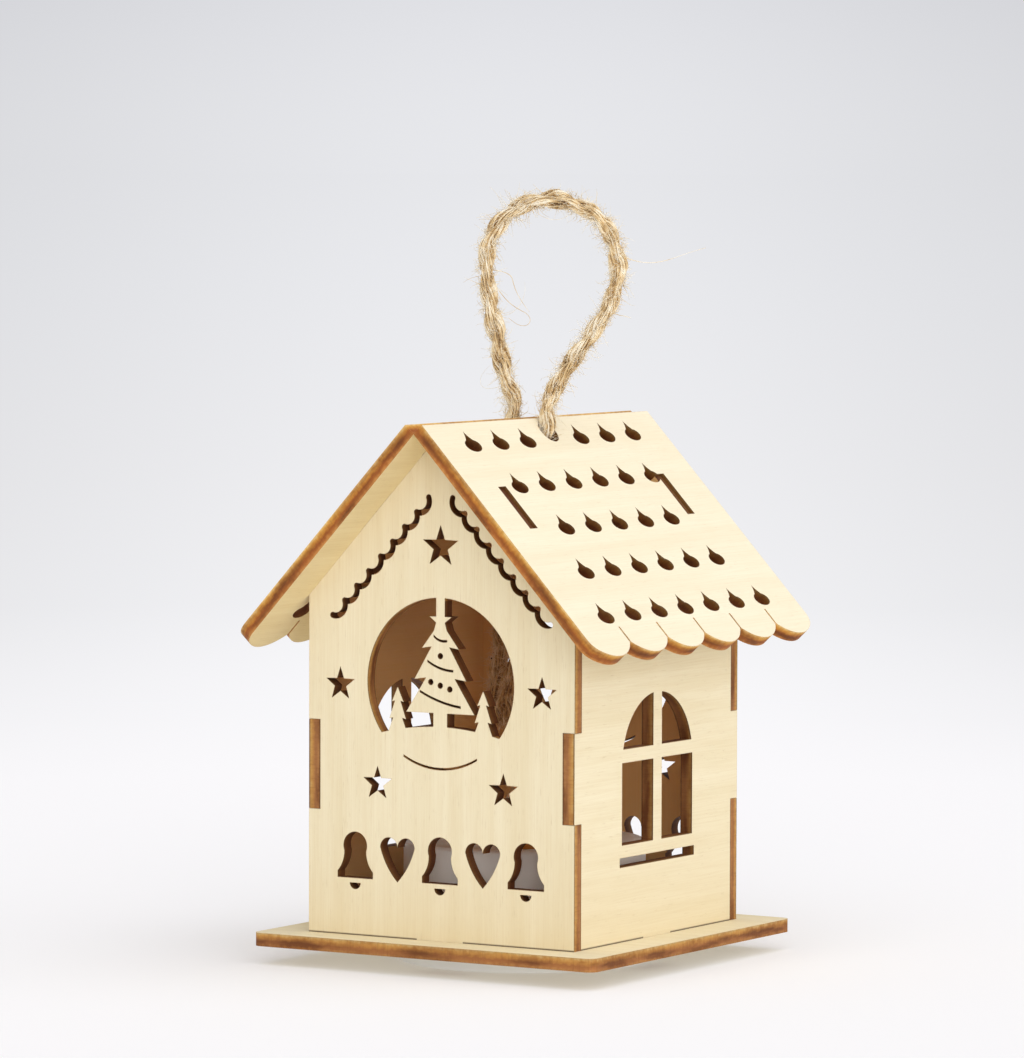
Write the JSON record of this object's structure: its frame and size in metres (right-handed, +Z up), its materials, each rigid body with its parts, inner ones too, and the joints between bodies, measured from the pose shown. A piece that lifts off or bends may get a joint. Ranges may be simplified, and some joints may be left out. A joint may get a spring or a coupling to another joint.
{
  "type": "tealight house",
  "caption": "Small laser-cut plywood house with scalloped roof, star and bell cut-outs and arched windows, standing on a battery tealight and hung by a jute loop.",
  "frame": {"origin": "middle of the roof's length and width, on the surface that the tealight stands on", "axes": "+Z up, -Y out of the front gable, +X to the right seen from the front, so the ridge runs along Y"},
  "size_m": [0.0638, 0.065, 0.1152],
  "materials": {
    "plywood": "unfinished light plywood with laser-darkened edges",
    "jute": "twisted natural jute",
    "white_plastic": "satin moulded",
    "black_plastic": "moulded",
    "steel": "brushed",
    "spring_metal": "tin plated",
    "lamp": "clear warm epoxy",
    "amber_plastic": "translucent amber"
  },
  "bodies": {
    "house": {"base_plate": "plywood", "front_gable": "plywood", "rear_gable": "plywood", "left_wall": "plywood", "right_wall": "plywood", "left_roof": "plywood", "right_roof": "plywood", "jute_loop": "jute", "jute_knot": "jute", "jute_tail_left": "jute", "jute_tail_right": "jute"},
    "tealight": {"tealight_shell": "white_plastic", "tealight_lid": "white_plastic", "coin_cell": "steel", "contact_minus": "spring_metal", "contact_plus": "spring_metal", "led": "lamp", "led_leads": "spring_metal", "flame": "amber_plastic"},
    "door": {"battery_door": "white_plastic"},
    "switch": {"switch_slider": "black_plastic"}
  },
  "joints": [
    {"name": "tealight_drop", "type": "slide", "parent": "house", "child": "tealight", "axis": [0, 0, -1], "range_m": [0, 0.032]},
    {"name": "battery_door_hinge", "type": "hinge", "parent": "tealight", "child": "door", "pos_m": [0, -0.0132, 0.0012], "axis": [-1, 0, 0], "range_deg": [0, 90]},
    {"name": "switch_slide", "type": "slide", "parent": "tealight", "child": "switch", "axis": [1, 0, 0], "range_m": [0, 0.003]}
  ]
}
